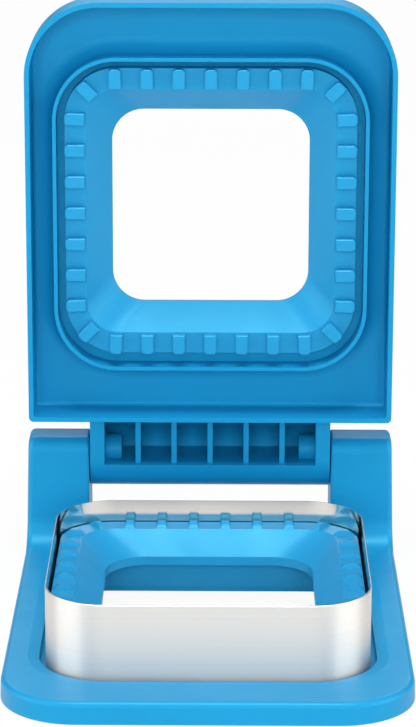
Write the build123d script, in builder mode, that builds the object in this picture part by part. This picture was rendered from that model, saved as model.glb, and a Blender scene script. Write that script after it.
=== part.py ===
# Sandwich cutter and sealer: a moulded base with a square steel cutter band and a ribbed
# crimping die, and a hinged lid whose toothed crimping ring presses the bread on the die.
# Millimetres. X = 0 is the mirror plane, +Y is the hinge side, +Z is up, the feet stand on z = 0.
# The origin is under the middle of the whole; sizes along Y below count from the middle of the band.
# The lid is modelled open, standing square to the table.
from build123d import *
from math import atan, atan2, cos, degrees, pi, radians, sin, sqrt, tan
import os

os.makedirs("parts", exist_ok=True)

# Cutter band, a rounded square of strip steel standing on edge
cutter_width = 90.0
cutter_corner = 17.0
band_wall = 0.5
band_stand_proud = 6.5        # edge of the band above the crimping land of the die
edge_bevel = 0.22

# Lower crimping die
die_gap = 0.63                # between the band and the die
crimp_width = 6.3             # flat crimping land, measured across
die_height = 20.7             # crimping land above the table
die_bevel_width = 7.27        # from the land in to the edge of the window
window_corner = 12.5
window_rim = 14.5             # lower end of the bevel, above the table
window_wall_inset = 1.57      # upright wall under the bevel, in from the edge of the land
window_wall_corner = 6.0
die_wall = 2.0
band_seat_height = 2.5        # foot of the die that keeps the band in line
band_seat_gap = 0.05
rib_width = 3.1               # at the foot
rib_crown_width = 1.9
rib_height = 1.4
rib_inset = 0.2               # from both edges of the land
corner_rib_outer = 4.4        # the ribs beside each corner are wedges, wide outside
corner_rib_inner = 1.5

# Crimp pattern, the same count on both dies
crimps_per_side = 8

# Base shell
base_half_width = 56.55
base_front = -63.55
skirt_bottom = 0.3            # the feet carry the skirt just clear of the table
flange_top = 6.5
front_corner = 21.5
back_corner = 3.0
flange_edge = 1.7             # round along the flange and on up the outside of the towers
shell_wall = 2.2
moat = 1.85                   # between the band and the lip of the well
lip_width = 3.2
lip_drop = 0.4
well_wall = 2.0
floor_bottom = 1.6
floor_top = 3.2
stiffener = 1.6

# Hinge towers and pins
hinge_y = 76.95
hinge_z = 33.55
tower_width = 19.55
tower_top_inset = 0.95        # lean of the outside over the height of the tower
tower_back_reach = 9.85       # behind the hinge line
tower_top_reach = 6.05        # above the hinge line
tower_front_round = 4.4
tower_back_round = 10.0
tower_foot_round = 8.0
tower_inner_edge = 0.8        # round along the side next to the tongue
tower_core_wall = 2.4
pin_radius = 2.0
pin_recess = 0.6
pin_running = 0.05
pin_chamfer = 0.4

# Lid shell, measured from the tips of its teeth, positive towards the die
lid_side_inset = 1.55         # each side of the lid, in from the side of the base
lid_front = 63.7              # from the middle of the ring to the free edge
lid_back = 64.1               # from the middle of the ring to the hinge edge
lid_front_corner = 22.0
lid_back_corner = 1.5
least_corner = 0.8
lid_rim = 2.5
lid_rim_width = 1.45
lid_field = -11.0
lid_floor = 2.4
lid_back_edge = 2.5
field_round = 5.0
tray_foot_round = 1.2
ridge_wall = 1.1
groove_depth = 7.0
ring_band_gap = 1.0           # between the band and the ring with the lid down
ring_fit = 0.05
ridge_gap = 0.94              # from the outside of the band to the inside of the ridge
swing_relief = 1.4            # extra groove at the hinge side, where the band swings out
closed_gap = 0.3              # between the teeth and the land with the lid down

# Upper crimping ring
tooth_width = 3.75
tooth_height = 3.0
tooth_length = 6.0
tooth_corner = 1.2
tooth_edge = 0.3
lid_bevel_inset = 0.25        # from the teeth in to the start of the bevel
lid_bevel_width = 7.55
lid_window_corner = 9.6
lid_window_rim = -12.0
collar_wall = 2.2

# Hinge tongue of the lid
tongue_radius = 11.15
tongue_gap = 0.3              # to each tower
tongue_cheek = 4.4
tongue_overcut = 1.0          # the cuts for its pocket start this far outside
tongue_ledge = 2.0            # floor of the pocket below the hinge line
tongue_wall = 2.2
tongue_rise = 40.0            # degrees above the hinge line where the back turns straight
tongue_rib = 1.6
tongue_ribs = 5
boss_radius = 4.5
boss_length = 5.0
boss_cap = 1.2                # closes the inner end of the bore

# Screws, all alike
screw_radius = 1.5
screw_length = 8.0
screw_head_radius = 2.8
screw_head_height = 1.2
screw_fit = 0.02
screw_hole_clearance = 0.15
die_screw_offset = 0.5        # along X and along Y, out from the window wall of the die
ring_screw_offset = 4.9       # the same, out from the window of the lid
boss_outer_radius = 3.2
recess_gap = 0.2
slot_width = 0.8
slot_depth = 0.6

# Rubber feet
foot_radius = 4.0
foot_seat_depth = 1.2
foot_seat_bottom = 0.7
foot_fit = 0.05
foot_seat_wall = 1.2
foot_side_inset = 10.15
foot_front_inset = 13.55
foot_tower_gap = 6.8
foot_chamfer = 0.2

# Sizes that follow
tower_inner = base_half_width - tower_width
tower_front = hinge_y - tongue_radius
tower_height = hinge_z + tower_top_reach
base_back = hinge_y + tower_back_reach
front_foot = (base_half_width - foot_side_inset, base_front + foot_front_inset)
back_foot = (base_half_width - foot_side_inset, tower_front - foot_tower_gap)

cutter_half = cutter_width / 2
band_inner = cutter_half - band_wall
band_inner_corner = cutter_corner - band_wall
band_bottom = floor_top
band_top = die_height + band_stand_proud
tab_thickness = band_wall
tab_length = 4.0
tab_width = 8.0
tab_spread = 36.0

die_half = band_inner - die_gap
die_corner = band_inner_corner - die_gap
land_half = die_half - crimp_width
land_corner = die_corner - crimp_width
window_half = land_half - die_bevel_width
window_wall_half = land_half - window_wall_inset
die_screw_place = window_wall_half + die_screw_offset
crimp_half = die_half - crimp_width / 2
crimp_corner = die_corner - crimp_width / 2
crimp_straight = crimp_half - crimp_corner
crimp_quarter = 2 * crimp_straight + crimp_corner * pi / 2
crimp_pitch = crimp_quarter / crimps_per_side
bevel_slope = (die_height - window_rim) / (land_half - window_half)
bevel_depth = die_wall * sqrt(1 + bevel_slope ** 2)
hollow_top = die_height - bevel_depth - (land_half - window_wall_half) * bevel_slope

well_half = cutter_half + moat
well_corner = cutter_corner + moat

tooth_plane_y = hinge_y - (hinge_z - die_height - closed_gap)
ring_centre_z = hinge_z + hinge_y
lid_inside = lid_field - lid_floor
lid_half_width = base_half_width - lid_side_inset
ridge_half = cutter_half + ridge_gap
ridge_corner = cutter_corner + ridge_gap
tray_room = lid_half_width - lid_rim_width - ridge_half - ridge_wall
ring_outer_half = band_inner - ring_band_gap
tooth_inner_half = ring_outer_half - tooth_length
bevel_start_half = tooth_inner_half - lid_bevel_inset
lid_window_half = bevel_start_half - lid_bevel_width
ring_screw_place = lid_window_half + ring_screw_offset
ring_corner = die_corner - (die_half - ring_outer_half)
tongue_half = tower_inner - tongue_gap
valley = -tooth_height
pin_bore_depth = tongue_cheek + boss_length - boss_cap

ring_y = -(base_front + hinge_y + tongue_radius) / 2
table = Plane(origin=(0, ring_y, 0))
side_view = Plane(origin=(0, ring_y, 0), x_dir=(0, 1, 0), z_dir=(1, 0, 0))
lid_face = Plane(origin=(0, ring_y + tooth_plane_y, ring_centre_z), x_dir=(1, 0, 0), z_dir=(0, -1, 0))


def rounded_square(half, corner, mode=Mode.ADD):
    """A square face with round corners, in the sketch that is open."""
    RectangleRounded(2 * half, 2 * half, corner, mode=mode)


def crimp_place(distance):
    """Place on the crimp line, this far round it; local X points out of the square."""
    side = int(distance // crimp_quarter)
    along = distance - side * crimp_quarter
    arc_end = crimp_straight + crimp_corner * pi / 2
    if along < crimp_straight:
        spot, heading = (along, crimp_half), 90
    elif along < arc_end:
        turn = (along - crimp_straight) / crimp_corner
        spot = (crimp_straight + crimp_corner * sin(turn), crimp_straight + crimp_corner * cos(turn))
        heading = 90 - degrees(turn)
    else:
        spot, heading = (crimp_half, crimp_straight - (along - arc_end)), 0
    quarter_turn = Location((0, 0, 0), (0, 0, -90 * side))
    return quarter_turn * Location((spot[0], spot[1], 0), (0, 0, heading))


def crimp_places(steps, plane):
    """Places on a plane at these steps of the pitch, repeated on all four sides."""
    starts = [side * crimps_per_side for side in range(4)]
    return [plane.location * crimp_place((start + step) * crimp_pitch) for start in starts for step in steps]


def spots_on(plane, spots):
    """Places on a plane, each given by its two coordinates there."""
    return [plane.location * Location((x, y, 0)) for x, y in spots]


def shell_plan(half_width, y_low, y_high, low_corner, high_corner, inset):
    """Plan of a shell, wide corners at one end and tight ones at the other, drawn in by an inset."""
    with BuildSketch() as plan:
        with Locations((0, (y_low + y_high) / 2)):
            Rectangle(2 * (half_width - inset), y_high - y_low - 2 * inset)
        fillet(plan.vertices().group_by(Axis.Y)[0], max(low_corner - inset, least_corner))
        fillet(plan.vertices().group_by(Axis.Y)[-1], max(high_corner - inset, least_corner))
    return plan.sketch


def square_spots(place):
    """Four spots at the corners of a square, this far from the middle along both axes."""
    return [(x, y) for x in (-place, place) for y in (-place, place)]


die_screw_spots = square_spots(die_screw_place)
ring_screw_spots = square_spots(ring_screw_place)
foot_spots = [(-front_foot[0], front_foot[1]), front_foot, (-back_foot[0], back_foot[1]), back_foot]
base_size = (base_half_width, base_front, base_back, front_corner, back_corner)
lid_size = (lid_half_width, -lid_back, lid_front, lid_back_corner, lid_front_corner)
base_plan = shell_plan(*base_size, 0)
base_hollow_plan = shell_plan(*base_size, shell_wall)
lid_plan = shell_plan(*lid_size, 0)
tray_plan = shell_plan(*lid_size, lid_rim_width)


# Cutter band: rolled strip with inward tabs that the die clamps to the floor of the base
with BuildPart() as cutter_band:
    with BuildSketch(table.offset(band_bottom)):
        rounded_square(cutter_half, cutter_corner)
        rounded_square(band_inner, band_inner_corner, mode=Mode.SUBTRACT)
    extrude(amount=band_top - band_bottom)
    outer_edge = cutter_band.faces().sort_by(Axis.Z)[-1].outer_wire().edges()
    chamfer(outer_edge, length=edge_bevel)
    with BuildSketch(table.offset(band_bottom)):
        with PolarLocations(0, 4):
            for offset_along in (-tab_spread / 2, tab_spread / 2):
                with Locations((band_inner - tab_length / 2 + band_wall / 2, offset_along)):
                    Rectangle(tab_length + band_wall, tab_width)
    extrude(amount=tab_thickness)
cutter_band.part.label = "cutter_band"
export_step(cutter_band.part, "parts/cutter_band.step")


# Inside of the lower die: a ring space between its outer wall and the window wall, cut from below
cavity_top = die_height - die_wall
with BuildPart() as die_cavity:
    with BuildSketch(table.offset(floor_top)):
        rounded_square(die_half - die_wall, die_corner - die_wall)
        rounded_square(window_wall_half + die_wall, window_wall_corner + die_wall, mode=Mode.SUBTRACT)
        with Locations(*die_screw_spots):
            Circle(boss_outer_radius, mode=Mode.SUBTRACT)
    extrude(amount=cavity_top - floor_top)

# Room inside the window wall, under the bevel
with BuildPart() as window_hollow:
    with BuildSketch(table.offset(floor_top)):
        rounded_square(window_wall_half, window_wall_corner)
    extrude(amount=hollow_top - floor_top)
    with BuildSketch(table.offset(window_rim - bevel_depth)):
        rounded_square(window_half, window_corner)
    with BuildSketch(table.offset(hollow_top)):
        rounded_square(window_wall_half, window_wall_corner)
    loft(mode=Mode.SUBTRACT)


def crimping_rib(outer_width, inner_width):
    """One rib across the land, a half-moon from the side with leaning flanks; local X points out."""
    rib_reach = crimp_width / 2 - rib_inset
    flank_lean = degrees(atan((rib_width - rib_crown_width) / 2 / rib_height))
    with BuildPart() as rib:
        with BuildSketch():
            with BuildLine():
                Polyline((rib_reach, outer_width / 2), (-rib_reach, inner_width / 2),
                         (-rib_reach, -inner_width / 2), (rib_reach, -outer_width / 2), close=True)
            make_face()
        extrude(amount=rib_height, taper=flank_lean)
        with BuildSketch(Plane.XZ.offset(-outer_width / 2)):
            with BuildLine():
                ThreePointArc((rib_reach, 0), (0, rib_height), (-rib_reach, 0))
                Line((-rib_reach, 0), (rib_reach, 0))
            make_face()
        extrude(amount=outer_width, mode=Mode.INTERSECT)
    return rib.part


die_rib = crimping_rib(rib_width, rib_width)
corner_rib = crimping_rib(corner_rib_outer, corner_rib_inner)
corner_steps = [(crimps_per_side - 1) / 2, (crimps_per_side + 1) / 2]
rib_steps = [k + 0.5 for k in range(crimps_per_side) if k + 0.5 not in corner_steps]

# Lower crimping die: land and ribs on top, bevel down to the window, screw bosses inside
with BuildPart() as lower_crimp_die:
    with BuildSketch(table.offset(floor_top)):
        rounded_square(die_half, die_corner)
    extrude(amount=die_height - floor_top)
    with BuildSketch(table.offset(floor_top)):
        rounded_square(band_inner - band_seat_gap, band_inner_corner - band_seat_gap)
    extrude(amount=band_seat_height)
    add(die_cavity.part, mode=Mode.SUBTRACT)
    add(window_hollow.part, mode=Mode.SUBTRACT)
    with BuildSketch(table.offset(floor_top)):
        rounded_square(window_half, window_corner)
    extrude(amount=die_height - floor_top, mode=Mode.SUBTRACT)
    with BuildSketch(table.offset(window_rim)):
        rounded_square(window_half, window_corner)
    with BuildSketch(table.offset(die_height)):
        rounded_square(land_half, land_corner)
    loft(mode=Mode.SUBTRACT)
    with Locations(*crimp_places(rib_steps, table.offset(die_height))):
        add(die_rib)
    with Locations(*crimp_places(corner_steps, table.offset(die_height))):
        add(corner_rib)
    with BuildSketch(table.offset(floor_top)):
        with PolarLocations(0, 4):
            for offset_along in (-tab_spread / 2, tab_spread / 2):
                with Locations((band_inner - tab_length / 2, offset_along)):
                    Rectangle(tab_length + 2 * recess_gap, tab_width + 2 * recess_gap)
    extrude(amount=tab_thickness, mode=Mode.SUBTRACT)
    with BuildSketch(table.offset(floor_top)):
        with Locations(*die_screw_spots):
            Circle(screw_radius + screw_fit)
    extrude(amount=screw_length - (floor_top - floor_bottom), mode=Mode.SUBTRACT)
lower_crimp_die.part.label = "lower_crimp_die"
export_step(lower_crimp_die.part, "parts/lower_crimp_die.step")


# Right-hand hinge tower: a foot that sweeps up from the flange, rounded top corners, cored from below
tower_lean = tower_top_inset / (tower_height - skirt_bottom)
foot_y = tower_front - tower_foot_round
foot_z = flange_top + tower_foot_round
foot_under = flange_top - shell_wall / 2
with BuildPart() as tower:
    with BuildSketch(side_view.offset(tower_inner)) as tower_side:
        with BuildLine():
            foot_arc = CenterArc((foot_y, foot_z), tower_foot_round, 270, 90)
            Polyline(foot_arc @ 1, (tower_front, tower_height), (base_back - tower_top_inset, tower_height),
                     (base_back, skirt_bottom), (tower_front, skirt_bottom), (tower_front, foot_under),
                     (foot_y, foot_under), foot_arc @ 0)
        make_face()
        fillet(tower_side.vertices().group_by(Axis.Y)[-1].sort_by(Axis.X)[0], tower_front_round)
        fillet(tower_side.vertices().group_by(Axis.Y)[-1].sort_by(Axis.X)[-1], tower_back_round)
    extrude(amount=base_half_width - tower_inner)
    lean_plane = Plane(origin=(base_half_width, 0, skirt_bottom), z_dir=(1, 0, tower_lean))
    split(bisect_by=lean_plane, keep=Keep.BOTTOM)
    inner_front = tower.edges().filter_by(Axis.Z).filter_by_position(Axis.Z, foot_z, tower_height)
    fillet(inner_front, tower_inner_edge)

# Base shell: flange with a skirt, a well for the band and die, a floor and two towers
with BuildPart() as base_shell:
    with BuildSketch(table.offset(skirt_bottom)):
        add(base_plan)
    extrude(amount=flange_top - skirt_bottom, taper=degrees(atan(tower_lean)))
    with BuildSketch(table.offset(skirt_bottom)):
        add(base_hollow_plan)
        rounded_square(well_half + well_wall, well_corner + well_wall, mode=Mode.SUBTRACT)
    extrude(amount=flange_top - shell_wall - skirt_bottom, mode=Mode.SUBTRACT)
    add(tower.part)
    add(mirror(tower.part, about=Plane.YZ))
    right_side = base_shell.faces().sort_by(Axis.X)[-1]
    left_side = base_shell.faces().sort_by(Axis.X)[0]
    back_side = base_shell.faces().sort_by(Axis.Y)[-1]
    side_rims = right_side.edges() + left_side.edges()
    back_rim = back_side.edges().filter_by_position(Axis.Z, flange_top, flange_top)
    fillet(side_rims.filter_by_position(Axis.Z, flange_top, tower_height) + back_rim, flange_edge)
    with BuildSketch(table.offset(skirt_bottom)):
        rounded_square(well_half + well_wall, well_corner + well_wall)
    extrude(amount=floor_bottom - skirt_bottom, mode=Mode.SUBTRACT)
    with BuildSketch(table.offset(floor_top)):
        rounded_square(well_half, well_corner)
    extrude(amount=flange_top - floor_top, mode=Mode.SUBTRACT)
    with BuildSketch(table.offset(flange_top - lip_drop)):
        rounded_square(well_half, well_corner)
    with BuildSketch(table.offset(flange_top)):
        rounded_square(well_half + lip_width, well_corner + lip_width)
    loft(mode=Mode.SUBTRACT)
    with BuildSketch(table.offset(floor_bottom)):
        rounded_square(window_wall_half, window_wall_corner)
    extrude(amount=floor_top - floor_bottom, mode=Mode.SUBTRACT)
    stiffener_reach = well_half + well_wall / 2
    with BuildSketch(table.offset(floor_bottom)):
        front_middle = (base_front + shell_wall / 2 - stiffener_reach) / 2
        for x in (-base_half_width / 3, 0, base_half_width / 3):
            with Locations((x, front_middle)):
                Rectangle(stiffener, -base_front - stiffener_reach)
        side_middle = (base_half_width - shell_wall / 2 + stiffener_reach) / 2
        for y in (-base_half_width / 3, 0, base_half_width / 3):
            with Locations((side_middle, y), (-side_middle, y)):
                Rectangle(base_half_width - stiffener_reach, stiffener)
        back_middle = (base_back - shell_wall / 2 + stiffener_reach) / 2
        for x in (-base_half_width / 3, 0, base_half_width / 3):
            with Locations((x, back_middle)):
                Rectangle(stiffener, base_back - shell_wall - stiffener_reach)
    extrude(amount=flange_top - shell_wall / 2 - floor_bottom)
    with BuildSketch(table.offset(foot_seat_bottom)):
        with Locations(*foot_spots):
            Circle(foot_radius + foot_fit + foot_seat_wall)
    extrude(amount=flange_top - shell_wall / 2 - foot_seat_bottom)
    with BuildSketch(table.offset(foot_seat_bottom)):
        with Locations(*foot_spots):
            Circle(foot_radius + foot_fit)
    extrude(amount=foot_seat_depth, mode=Mode.SUBTRACT)
    core_middle = (tower_inner + base_half_width) / 2
    tower_middle = (tower_front + base_back) / 2
    with BuildSketch(table.offset(skirt_bottom)):
        with Locations((-core_middle, tower_middle), (core_middle, tower_middle)):
            Rectangle(base_half_width - tower_inner - 2 * tower_core_wall,
                      base_back - tower_front - 2 * tower_core_wall)
    extrude(amount=hinge_z - pin_radius - 2 * tower_core_wall - skirt_bottom, mode=Mode.SUBTRACT)
    with BuildSketch(side_view.offset(-base_half_width)):
        with Locations((hinge_y, hinge_z)):
            Circle(pin_radius)
    extrude(amount=2 * base_half_width, mode=Mode.SUBTRACT)
    with BuildSketch(table.offset(floor_bottom)):
        with Locations(*die_screw_spots):
            Circle(screw_radius + screw_hole_clearance)
    extrude(amount=floor_top - floor_bottom, mode=Mode.SUBTRACT)
base_shell.part.label = "base_shell"
export_step(base_shell.part, "parts/base_shell.step")


# One pan-head screw standing on its head, the underside of the head at z = 0
with BuildPart() as screw:
    with BuildSketch(Plane.XY):
        Circle(screw_radius)
    extrude(amount=screw_length - 2 * recess_gap)
    with BuildSketch(Plane.XY.offset(-screw_head_height)):
        Circle(screw_head_radius)
    extrude(amount=screw_head_height)
    fillet(screw.edges().filter_by(GeomType.CIRCLE).sort_by(Axis.Z)[0], screw_head_height / 3)
    with BuildSketch(Plane.XY.offset(-screw_head_height)):
        Rectangle(2 * screw_head_radius, slot_width)
    extrude(amount=slot_depth, mode=Mode.SUBTRACT)

# Screws that hold the die to the base, driven from below
with BuildPart() as die_screws:
    with Locations(*spots_on(table.offset(floor_bottom), die_screw_spots)):
        add(screw.part)
die_screws.part.label = "die_screws"
export_step(die_screws.part, "parts/die_screws.step")


# Rubber feet, glued into round seats under the flange
foot_names = ("foot_front_left", "foot_front_right", "foot_back_left", "foot_back_right")
for foot_name, (x, y) in zip(foot_names, foot_spots):
    with BuildPart() as foot:
        with BuildSketch(table):
            with Locations((x, y)):
                Circle(foot_radius)
        extrude(amount=foot_seat_bottom + foot_seat_depth)
        chamfer(foot.edges().group_by(Axis.Z)[0], foot_chamfer)
    foot.part.label = foot_name
    export_step(foot.part, "parts/" + foot_name + ".step")


# Hinge pins: pressed through the towers, running in the cheeks of the tongue
pin_inner = tongue_half - pin_bore_depth + tongue_gap
pin_outer = base_half_width - tower_top_inset - pin_recess
for pin_name, side in (("hinge_pin_left", -1), ("hinge_pin_right", 1)):
    with BuildPart() as pin:
        with BuildSketch(side_view.offset(side * pin_inner)):
            with Locations((hinge_y, hinge_z)):
                Circle(pin_radius)
        extrude(amount=side * (pin_outer - pin_inner))
        chamfer(pin.edges().filter_by(GeomType.CIRCLE), pin_chamfer)
    pin.part.label = pin_name
    export_step(pin.part, "parts/" + pin_name + ".step")


def ridge_plan(half, corner):
    """Rounded square drawn out towards the hinge, where the band swings past."""
    with Locations((0, -swing_relief / 2)):
        RectangleRounded(2 * half, 2 * half + swing_relief, corner)


# Hinge tongue: a barrel round the hinge line that runs up into the back of the lid,
# cored from the side that lies underneath when the lid is down
tongue_root = ring_centre_z - lid_back
lid_back_y = tooth_plane_y - lid_inside
tongue_front = hinge_y - tongue_radius
rise = radians(tongue_rise)
turn_y = hinge_y + tongue_radius * cos(rise)
turn_z = hinge_z + tongue_radius * sin(rise)
meet_z = turn_z + (turn_y - lid_back_y) / tan(rise)
inner_radius = tongue_radius - tongue_wall
ledge_z = hinge_z - tongue_ledge
bend_y = hinge_y + inner_radius * cos(rise)
bend_z = hinge_z + inner_radius * sin(rise)
pocket_top = tongue_root - tongue_wall / 2
roof_y = bend_y - (pocket_top - bend_z) * tan(rise)
pocket_half = tongue_half - tongue_cheek
cell_pitch = (2 * pocket_half + tongue_rib) / (tongue_ribs + 1)
with BuildPart() as tongue:
    with BuildSketch(side_view.offset(-tongue_half)):
        with BuildLine():
            barrel = CenterArc((hinge_y, hinge_z), tongue_radius, 180, 180 + tongue_rise)
            Polyline(barrel @ 1, (lid_back_y, meet_z), (lid_back_y - lid_floor, meet_z),
                     (lid_back_y - lid_floor, tongue_root + lid_rim_width / 2),
                     (tongue_front, tongue_root + lid_rim_width / 2), barrel @ 0)
        make_face()
    extrude(amount=2 * tongue_half)
    for k in range(tongue_ribs + 1):
        with BuildSketch(side_view.offset(-pocket_half + k * cell_pitch)):
            with BuildLine():
                ledge_turn = -degrees(atan2(tongue_ledge, inner_radius))
                hollow = CenterArc((hinge_y, hinge_z), inner_radius, ledge_turn, tongue_rise - ledge_turn)
                Polyline(hollow @ 1, (roof_y, pocket_top), (tongue_front - tongue_overcut, pocket_top),
                         (tongue_front - tongue_overcut, (hollow @ 0).Y), hollow @ 0)
            make_face()
        extrude(amount=cell_pitch - tongue_rib, mode=Mode.SUBTRACT)
    with BuildSketch(side_view.offset(-pocket_half)):
        with Locations((tongue_front, (ledge_z + pocket_top) / 2)):
            Rectangle(2 * tongue_wall, pocket_top - ledge_z)
    extrude(amount=2 * pocket_half, mode=Mode.SUBTRACT)
    for side in (-1, 1):
        with BuildSketch(side_view.offset(side * tongue_half)):
            with Locations((hinge_y, hinge_z)):
                Circle(boss_radius)
        extrude(amount=-side * (tongue_cheek + boss_length))
        with BuildSketch(side_view.offset(side * tongue_half)):
            with Locations((hinge_y, hinge_z)):
                Circle(pin_radius + pin_running)
        extrude(amount=-side * pin_bore_depth, mode=Mode.SUBTRACT)

# Lid shell: shallow tray, ridge round the groove for the band, seat for the ring, tongue
with BuildPart() as lid_shell:
    with BuildSketch(lid_face.offset(lid_inside)):
        add(lid_plan)
    extrude(amount=lid_rim - lid_inside)
    fillet(lid_shell.faces().sort_by(Axis.Y)[-1].edges(), lid_back_edge)
    with BuildSketch(lid_face.offset(lid_field)):
        add(tray_plan)
    extrude(amount=lid_rim - lid_field, mode=Mode.SUBTRACT)
    with BuildSketch(lid_face.offset(lid_field)):
        ridge_plan(ridge_half + ridge_wall, ridge_corner + ridge_wall)
    extrude(amount=-lid_field)
    field_y = ring_y + tooth_plane_y - lid_field
    field_face = lid_shell.faces().filter_by_position(Axis.Y, field_y - ring_fit, field_y + ring_fit)[0]
    fillet(field_face.inner_wires()[0].edges(), min(field_round, 0.78 * tray_room))
    field_face = lid_shell.faces().filter_by_position(Axis.Y, field_y - ring_fit, field_y + ring_fit)[0]
    fillet(field_face.outer_wire().edges(), min(tray_foot_round, 0.2 * tray_room))
    with BuildSketch(lid_face.offset(-groove_depth)):
        ridge_plan(ridge_half, ridge_corner)
    extrude(amount=groove_depth, mode=Mode.SUBTRACT)
    with BuildSketch(lid_face.offset(lid_field)):
        rounded_square(ring_outer_half + ring_fit, ring_corner + ring_fit)
    extrude(amount=-groove_depth - lid_field, mode=Mode.SUBTRACT)
    with BuildSketch(lid_face.offset(lid_inside)):
        collar_half = lid_window_half + collar_wall + ring_fit
        rounded_square(collar_half, lid_window_corner + collar_wall + ring_fit)
    extrude(amount=lid_floor, mode=Mode.SUBTRACT)
    with BuildSketch(lid_face.offset(lid_inside)):
        with Locations(*ring_screw_spots):
            Circle(screw_radius + screw_hole_clearance)
    extrude(amount=lid_floor, mode=Mode.SUBTRACT)
    with BuildSketch(lid_face.offset(lid_inside)):
        with Locations(*ring_screw_spots):
            Circle(screw_head_radius + recess_gap)
    extrude(amount=screw_head_height, mode=Mode.SUBTRACT)
    add(tongue.part)
lid_shell.part.label = "lid_shell"
export_step(lid_shell.part, "parts/lid_shell.step")


# One tooth of the lid, square inside and round-cornered outside
with BuildPart() as lid_tooth:
    with BuildSketch() as tooth_plan:
        with Locations(((ring_outer_half + tooth_inner_half) / 2 - crimp_half, 0)):
            Rectangle(ring_outer_half - tooth_inner_half, tooth_width)
        fillet(tooth_plan.vertices().group_by(Axis.X)[-1], tooth_corner)
    extrude(amount=tooth_height)
    chamfer(lid_tooth.faces().sort_by(Axis.Z)[-1].edges(), length=tooth_edge)

# All the teeth, trimmed to the outline of the ring
with BuildPart() as lid_teeth:
    with Locations(*crimp_places(range(crimps_per_side), lid_face.offset(valley))):
        add(lid_tooth.part)
    with BuildSketch(lid_face.offset(valley)):
        rounded_square(ring_outer_half, ring_corner)
    extrude(amount=tooth_height, mode=Mode.INTERSECT)

# Upper crimping ring: teeth, valleys between them, bevel down to the window, collar
with BuildPart() as upper_crimp_ring:
    with BuildSketch(lid_face.offset(lid_field)):
        rounded_square(ring_outer_half, ring_corner)
    extrude(amount=valley - lid_field)
    with BuildSketch(lid_face.offset(lid_inside)):
        rounded_square(lid_window_half + collar_wall, lid_window_corner + collar_wall)
    extrude(amount=lid_floor)
    add(lid_teeth.part)
    with BuildSketch(lid_face.offset(lid_inside)):
        rounded_square(lid_window_half, lid_window_corner)
    extrude(amount=valley - lid_inside, mode=Mode.SUBTRACT)
    with BuildSketch(lid_face.offset(lid_window_rim)):
        rounded_square(lid_window_half, lid_window_corner)
    with BuildSketch(lid_face.offset(valley)):
        rounded_square(bevel_start_half, lid_window_corner)
    loft(mode=Mode.SUBTRACT)
    with BuildSketch(lid_face.offset(lid_field)):
        with Locations(*ring_screw_spots):
            Circle(screw_radius + screw_fit)
    extrude(amount=screw_length - (lid_floor - screw_head_height), mode=Mode.SUBTRACT)
upper_crimp_ring.part.label = "upper_crimp_ring"
export_step(upper_crimp_ring.part, "parts/upper_crimp_ring.step")


# Screws that hold the ring to the lid, driven from the back, heads sunk in the floor
with BuildPart() as ring_screws:
    with Locations(*spots_on(lid_face.offset(lid_inside + screw_head_height), ring_screw_spots)):
        add(screw.part)
ring_screws.part.label = "ring_screws"
export_step(ring_screws.part, "parts/ring_screws.step")
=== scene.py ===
# Sandwich cutter and sealer: finishes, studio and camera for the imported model. Lengths are in metres.
import bpy
import math
from mathutils import Matrix, Vector


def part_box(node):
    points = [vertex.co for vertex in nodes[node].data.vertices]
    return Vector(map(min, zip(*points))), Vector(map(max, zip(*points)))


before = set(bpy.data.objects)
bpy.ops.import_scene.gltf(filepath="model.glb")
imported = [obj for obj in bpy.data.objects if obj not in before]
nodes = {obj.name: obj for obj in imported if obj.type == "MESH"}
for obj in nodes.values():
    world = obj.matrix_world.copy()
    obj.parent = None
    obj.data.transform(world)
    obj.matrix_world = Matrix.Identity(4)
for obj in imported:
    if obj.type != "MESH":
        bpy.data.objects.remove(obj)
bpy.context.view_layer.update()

# Sockets told by their place, because others of the same node share their names
FACTOR = 0
NUMBER_A = 2
NUMBER_B = 3
NUMBER_OUT = 0
COLOUR_A = 6
COLOUR_B = 7
COLOUR_OUT = 2
FIRST_SHADER = 1
SECOND_SHADER = 2

# A noise lies mostly between these two values
NOISE_LOW = 0.3
NOISE_HIGH = 0.7

WHITE = (1.0, 1.0, 1.0, 1.0)


class Graph:
    """A node tree with short calls to add nodes and to feed their inputs."""

    def __init__(self, tree):
        self.tree = tree
        self.tree.nodes.clear()

    def feed(self, node, into, value):
        """Links an input to an output socket, or sets it to a number or colour."""
        if isinstance(value, bpy.types.NodeSocket):
            self.tree.links.new(value, node.inputs[into])
        else:
            node.inputs[into].default_value = value

    def add(self, kind, inputs=None, **settings):
        node = self.tree.nodes.new(kind)
        for key, value in settings.items():
            setattr(node, key, value)
        for into, value in (inputs or {}).items():
            self.feed(node, into, value)
        return node

    def maths(self, operation, *values):
        node = self.add("ShaderNodeMath", dict(enumerate(values)), operation=operation)
        return node.outputs["Value"]

    def ramp(self, value, start, end, low, high):
        """Goes from low to high while the value goes from start to end."""
        node = self.add("ShaderNodeMapRange", {"Value": value, "From Min": start, "From Max": end,
                                               "To Min": low, "To Max": high})
        return node.outputs["Result"]

    def any_ray(self, *kinds):
        """One for rays of these kinds, nothing for the rest."""
        path = self.add("ShaderNodeLightPath")
        share = path.outputs[kinds[0]]
        for kind in kinds[1:]:
            share = self.maths("MAXIMUM", share, path.outputs[kind])
        return share


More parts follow.
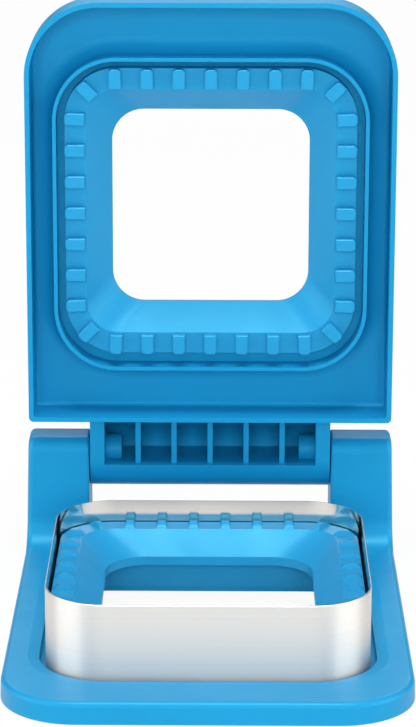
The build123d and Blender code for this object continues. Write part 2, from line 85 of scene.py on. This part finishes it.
class Finish(Graph):
    """A material with one shader, whose colour, gloss and skin follow noises."""

    def __init__(self, name):
        self.material = bpy.data.materials.new(name)
        self.material.use_nodes = True
        super().__init__(self.material.node_tree)
        self.shader = self.add("ShaderNodeBsdfPrincipled")
        self.output = self.add("ShaderNodeOutputMaterial", {"Surface": self.shader.outputs["BSDF"]})

    def surface_point(self):
        return self.add("ShaderNodeTexCoord").outputs["Object"]

    def noise(self, *cells, detail=2.0):
        """Noise with this many cells to the metre along each axis, or along all three."""
        scale = cells if len(cells) == 3 else cells * 3
        place = self.add("ShaderNodeMapping", {"Vector": self.surface_point(), "Scale": scale})
        noise = self.add("ShaderNodeTexNoise", {"Vector": place.outputs["Vector"], "Scale": 1.0,
                                                "Detail": detail, "Roughness": 0.5})
        return noise.outputs["Fac"]

    def spread(self, noise, low, high):
        """A noise turned into a value between low and high."""
        return self.ramp(noise, NOISE_LOW, NOISE_HIGH, low, high)

    def colour(self, noise, first, second):
        """Base colour that wanders between two colours."""
        mix = self.add("ShaderNodeMix", {FACTOR: self.spread(noise, 0.0, 1.0),
                                         COLOUR_A: first, COLOUR_B: second}, data_type="RGBA")
        self.feed(self.shader, "Base Color", mix.outputs[COLOUR_OUT])

    def roughness(self, noise, low, high):
        self.feed(self.shader, "Roughness", self.spread(noise, low, high))

    def skin(self, noise, height, strength):
        """Fine unevenness of the surface."""
        bump = self.add("ShaderNodeBump", {"Height": noise, "Distance": height, "Strength": strength})
        self.feed(self.shader, "Normal", bump.outputs["Normal"])


def linear(red, green, blue):
    """A screen colour from 0 to 255 as scene-linear values."""
    shares = [value / 255.0 for value in (red, green, blue)]
    channels = [s / 12.92 if s <= 0.04045 else ((s + 0.055) / 1.055) ** 2.4 for s in shares]
    return (*channels, 1.0)


# Moulded plastic. The pieces that press the bread are a shade lighter than the mouldings: painted light,
# a lighter copy of the same plastic standing in for the light their proud teeth and ribs catch.
PLASTIC_ROUGHNESS = 0.42


def moulded_plastic(name, colour, lighter):
    """Moulded plastic: slight clouding of the pigment, uneven gloss and a faint skin on the surface."""
    g = Finish(name)
    g.colour(g.noise(28.0, detail=3.0), colour, lighter)
    g.roughness(g.noise(90.0, 90.0, 60.0, detail=4.0), PLASTIC_ROUGHNESS * 0.9, PLASTIC_ROUGHNESS * 1.12)
    g.skin(g.noise(900.0), 0.00001, 0.5)
    g.feed(g.shader, "IOR", 1.5)
    g.feed(g.shader, "Specular IOR Level", 0.6)
    g.feed(g.shader, "Specular Tint", (0.3, 1.0, 1.0, 1.0))
    return g.material


# The cutter band, a rounded square of strip steel, as the model has it
band_low, band_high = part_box("cutter_band")
band_middle_y = (band_low[1] + band_high[1]) / 2
band_half = (band_high[0] - band_low[0]) / 2
band_corner = 0.017
band_wall = 0.0005
BAND_OUTSIDE_ROUGHER = 0.3
BAND_OUTSIDE_LESS_METAL = 0.22


def strip_steel(name):
    """Strip steel with a fine grain along the strip: bright inside the ring, satin on the outside."""
    g = Finish(name)
    g.colour(g.noise(12.0, 12.0, 1300.0), linear(228, 224, 218), linear(231, 227, 221))
    along = g.add("ShaderNodeTangent", direction_type="RADIAL", axis="Z")
    g.feed(g.shader, "Tangent", along.outputs["Tangent"])
    g.feed(g.shader, "Anisotropic", 0.85)
    g.feed(g.shader, "Anisotropic Rotation", 0.25)
    # Past the straight core of the square, the distance from it tells outside from inside
    point = g.add("ShaderNodeSeparateXYZ", {"Vector": g.surface_point()})
    from_middle = g.maths("SUBTRACT", point.outputs["Y"], band_middle_y)
    squares = []
    for along_axis in (point.outputs["X"], from_middle):
        past = g.maths("SUBTRACT", g.maths("ABSOLUTE", along_axis), band_half - band_corner)
        over = g.maths("MAXIMUM", past, 0.0)
        squares.append(g.maths("MULTIPLY", over, over))
    radius = g.maths("SQRT", g.maths("ADD", *squares))
    outside = g.maths("GREATER_THAN", radius, band_corner - band_wall / 2)
    bright = g.spread(g.noise(40.0, 40.0, 70.0), 0.08, 0.12)
    g.feed(g.shader, "Roughness", g.maths("MULTIPLY_ADD", outside, BAND_OUTSIDE_ROUGHER, bright))
    g.feed(g.shader, "Metallic", g.maths("MULTIPLY_ADD", outside, -BAND_OUTSIDE_LESS_METAL, 1.0))
    return g.material


def plated(name):
    """Zinc-plated screws and pins, slightly mottled."""
    g = Finish(name)
    mottle = g.noise(900.0, detail=4.0)
    g.colour(mottle, linear(168, 170, 172), linear(198, 199, 200))
    g.roughness(mottle, 0.22, 0.38)
    g.skin(mottle, 0.00001, 0.5)
    g.feed(g.shader, "Metallic", 1.0)
    return g.material


def rubber(name):
    """Black rubber with a fine pebbled skin."""
    g = Finish(name)
    pebbles = g.noise(1800.0, detail=3.0)
    g.colour(pebbles, linear(34, 34, 35), linear(52, 52, 53))
    g.roughness(pebbles, 0.6, 0.8)
    g.skin(pebbles, 0.00004, 0.7)
    return g.material


# Finishes and the nodes that carry them
finishes = (
    (moulded_plastic("blue plastic", (0.006, 0.236, 0.487, 1.0), (0.006, 0.248, 0.507, 1.0)),
     ("base_shell", "lid_shell")),
    # Painted light: a lighter copy of the blue plastic for the proud pressing pieces
    (moulded_plastic("pressing plastic with painted light", (0.014, 0.254, 0.508, 1.0), (0.014, 0.266, 0.528, 1.0)),
     ("lower_crimp_die", "upper_crimp_ring")),
    (strip_steel("strip steel"),
     ("cutter_band",)),
    (plated("zinc plate"),
     ("die_screws", "ring_screws", "hinge_pin_left", "hinge_pin_right")),
    (rubber("foot rubber"),
     ("foot_front_left", "foot_front_right", "foot_back_left", "foot_back_right")),
)
for material, names in finishes:
    for name in names:
        part = nodes[name]
        part.data.materials.clear()
        part.data.materials.append(material)


# Floor and world: the camera and bright metal see white, and the world fills in softly
FLOOR_SIZE = 6.0
FLOOR_WHITE = 0.93
FRONT_MIRRORED = 0.7
BACK_MIRRORED = 0.08
FILL = 0.28
UNLIT_RAYS = ("Is Camera Ray", "Is Glossy Ray", "Is Transmission Ray")


def floor_material():
    """Pale paper that the camera sees as white, with the shadow of the object kept faintly."""
    g = Finish("floor paper")
    g.colour(g.noise(6.0), linear(222, 222, 222), linear(228, 228, 228))
    g.feed(g.shader, "Roughness", 0.9)
    g.feed(g.shader, "Specular IOR Level", 0.1)
    white = g.add("ShaderNodeEmission", {"Color": WHITE, "Strength": 1.0})
    blend = g.add("ShaderNodeMixShader", {
        FACTOR: g.maths("MULTIPLY", g.any_ray(*UNLIT_RAYS), FLOOR_WHITE),
        FIRST_SHADER: g.shader.outputs["BSDF"],
        SECOND_SHADER: white.outputs["Emission"]})
    g.feed(g.output, "Surface", blend.outputs["Shader"])
    return g.material


bpy.ops.mesh.primitive_plane_add(size=FLOOR_SIZE, location=(0.0, 0.0, 0.0))
floor = bpy.context.object
floor.name = "floor"
floor.data.materials.append(floor_material())

world = bpy.data.worlds.new("studio")
bpy.context.scene.world = world
world.use_nodes = True
sky = Graph(world.node_tree)
# What metal mirrors: white at the sides, a little greyer in front and dim behind
way = sky.add("ShaderNodeTexCoord")
apart = sky.add("ShaderNodeSeparateXYZ", {"Vector": way.outputs["Generated"]})
backwards = apart.outputs["Y"]
mirrored = sky.maths("MULTIPLY", sky.ramp(backwards, -1.0, -0.75, FRONT_MIRRORED, 1.0),
                     sky.ramp(backwards, 0.0, 0.5, 1.0, BACK_MIRRORED))
strength = sky.add("ShaderNodeMix", {FACTOR: sky.any_ray("Is Camera Ray", "Is Transmission Ray"),
                                     NUMBER_A: mirrored, NUMBER_B: 1.0}, data_type="FLOAT")
seen = sky.add("ShaderNodeBackground", {"Color": WHITE, "Strength": strength.outputs[NUMBER_OUT]})
fill = sky.add("ShaderNodeBackground", {"Color": WHITE, "Strength": FILL})
blend = sky.add("ShaderNodeMixShader", {FACTOR: sky.any_ray(*UNLIT_RAYS),
                                        FIRST_SHADER: fill.outputs["Background"],
                                        SECOND_SHADER: seen.outputs["Background"]})
sky.add("ShaderNodeOutputWorld", {"Surface": blend.outputs["Shader"]})


def softbox(name, place, aim, width, height, power):
    """A rectangular area light at a place, turned to face a point."""
    light = bpy.data.lights.new(name, "AREA")
    light.shape = "RECTANGLE"
    light.size = width
    light.size_y = height
    light.energy = power
    lamp = bpy.data.objects.new(name, light)
    bpy.context.scene.collection.objects.link(lamp)
    lamp.location = place
    away = Vector(place) - Vector(aim)
    lamp.rotation_euler = away.to_track_quat("Z", "Y").to_euler()
    return lamp


# Lamps. The front one lights the object without showing in the steel.
middle = (0.0, 0.0, 0.08)
base_middle = (0.0, 0.0, 0.05)
softbox("top", (0.0, -0.25, 1.5), base_middle, 0.6, 0.6, 14.0)
front = softbox("front", (0.0, -1.8, 0.6), middle, 1.0, 0.8, 21.0)
front.visible_glossy = False
for name, x in (("left", -1.25), ("right", 1.25)):
    softbox(name, (x, -0.38, 0.5), middle, 1.4, 1.0, 8.5)
softbox("rear", (0.0, 1.6, 1.1), middle, 1.6, 0.8, 9.0)

# Camera, at the photograph's place, distance and angle; angles are in degrees and the lens in millimetres
camera_place = (0.0035, -0.784, 0.2989)
camera_down = 15.67
camera_turn = 0.286
camera_roll = 0.14
camera_lens = 142.05
camera_sensor = 36.0

camera_data = bpy.data.cameras.new("camera")
camera_data.sensor_fit = "AUTO"
camera_data.sensor_width = camera_sensor
camera_data.lens = camera_lens
camera_data.clip_start = 0.05
camera_data.clip_end = 20.0
camera = bpy.data.objects.new("camera", camera_data)
bpy.context.scene.collection.objects.link(camera)
facing = (Matrix.Rotation(math.radians(camera_turn), 3, "Z")
          @ Matrix.Rotation(math.radians(90.0 - camera_down), 3, "X")
          @ Matrix.Rotation(math.radians(camera_roll), 3, "Z"))
camera.rotation_euler = facing.to_euler()
camera.location = camera_place
bpy.context.scene.camera = camera

bpy.context.scene.view_settings.view_transform = "Standard"
